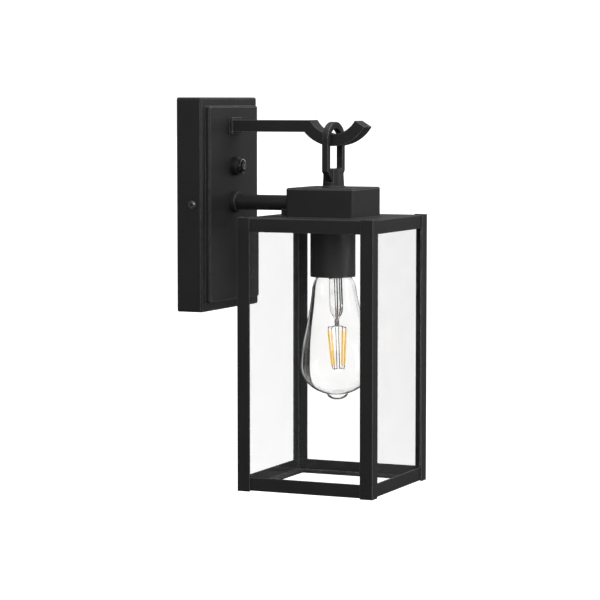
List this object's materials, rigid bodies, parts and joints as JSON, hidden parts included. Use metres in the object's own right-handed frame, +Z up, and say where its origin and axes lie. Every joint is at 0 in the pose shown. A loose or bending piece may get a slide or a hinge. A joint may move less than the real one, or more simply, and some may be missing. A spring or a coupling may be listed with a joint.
{
  "type": "outdoor wall lantern",
  "caption": "Square glazed wall lantern on a tube arm, with a hook arm, a long link, a photocell and a clear filament bulb.",
  "frame": {"origin": "centre of the back plate on the wall plane, midway between the two wall screw slots", "axes": "+Z up, +Y into the wall, so the lantern stands out towards -Y; +X to the right as seen from in front of the wall"},
  "size_m": [0.1264, 0.1872, 0.3402],
  "materials": {
    "powder_black": "fine-texture matt powder coat",
    "bracket_zinc": "zinc plated",
    "screw_zinc": "zinc plated",
    "screw_black": "bright head in a blackened recess",
    "earth_green": "green chromate",
    "brass": "stamped",
    "nickel_base": "nickel-plated threaded shell",
    "pane_glass": "clear float glass",
    "bulb_glass": "clear blown glass",
    "basing_cement": "baked basing cement",
    "black_glass": "fused black glass insulator",
    "solder": "solder",
    "support_wire": "drawn nickel wire",
    "phosphor": "silicone and phosphor coat",
    "phenolic": "moulded phenolic",
    "cell_plastic": "moulded nylon",
    "cell_clear": "clear polycarbonate",
    "cell_chip": "light-sensitive resistor",
    "foam_seal": "closed-cell foam",
    "lead_black": "extruded insulation",
    "lead_white": "extruded insulation",
    "lead_green": "extruded insulation",
    "connector_orange": "moulded shell"
  },
  "bodies": {
    "lamp": {"back_plate": "powder_black", "wall_seal_upper": "foam_seal", "wall_seal_lower": "foam_seal", "mounting_bracket": "bracket_zinc", "side_screws": "screw_black", "photocell_housing": "cell_plastic", "photocell_dome": "cell_clear", "photocell_sensor": "cell_chip", "photocell_nut": "cell_plastic", "upper_arm": "powder_black", "arm_collar": "powder_black", "arm_screw": "screw_zinc", "tube_arm": "powder_black", "tube_flange": "powder_black", "tube_nut_plate": "screw_zinc", "tube_nut_box": "screw_zinc", "tube_saddle": "powder_black", "box_cap": "powder_black", "box_screws": "screw_zinc", "hanging_link": "powder_black", "link_boss": "powder_black", "boss_screw": "screw_zinc", "roof_pan": "powder_black", "post_front_left": "powder_black", "post_front_right": "powder_black", "post_wall_left": "powder_black", "post_wall_right": "powder_black", "bottom_frame": "powder_black", "glass_front": "pane_glass", "glass_wall_side": "pane_glass", "glass_left": "pane_glass", "glass_right": "pane_glass", "glass_clips": "powder_black", "socket_cup": "powder_black", "threaded_nipple": "screw_zinc", "nipple_nut": "screw_zinc", "lampholder_body": "phenolic", "screw_shell": "brass", "centre_contact": "brass", "shell_rivet": "brass", "live_lead": "lead_black", "neutral_lead": "lead_white", "earth_lead": "lead_green", "live_connector": "connector_orange", "neutral_connector": "connector_orange", "earth_screws": "earth_green"},
    "bulb_carrier": {"contact_tip": "solder", "base_insulator": "black_glass"},
    "bulb": {"bulb_glass": "bulb_glass", "bulb_base": "nickel_base", "base_cement": "basing_cement", "bulb_stem": "bulb_glass", "filament_front": "phosphor", "filament_right": "phosphor", "filament_back": "phosphor", "filament_left": "phosphor", "filament_wires": "support_wire"}
  },
  "joints": [
    {"name": "bulb_travel", "type": "slide", "parent": "lamp", "child": "bulb_carrier", "axis": [0, 0, -1], "range_m": [0, 0.01816]},
    {"name": "bulb_turn", "type": "hinge", "parent": "bulb_carrier", "child": "bulb", "pos_m": [0, -0.124, -0.0306], "axis": [0, 0, -1], "range_deg": [0, 1800]}
  ],
  "couplings": [
    {"joint": "bulb_travel", "follows": "bulb_turn", "m_per_rad": 0.00057773}
  ]
}
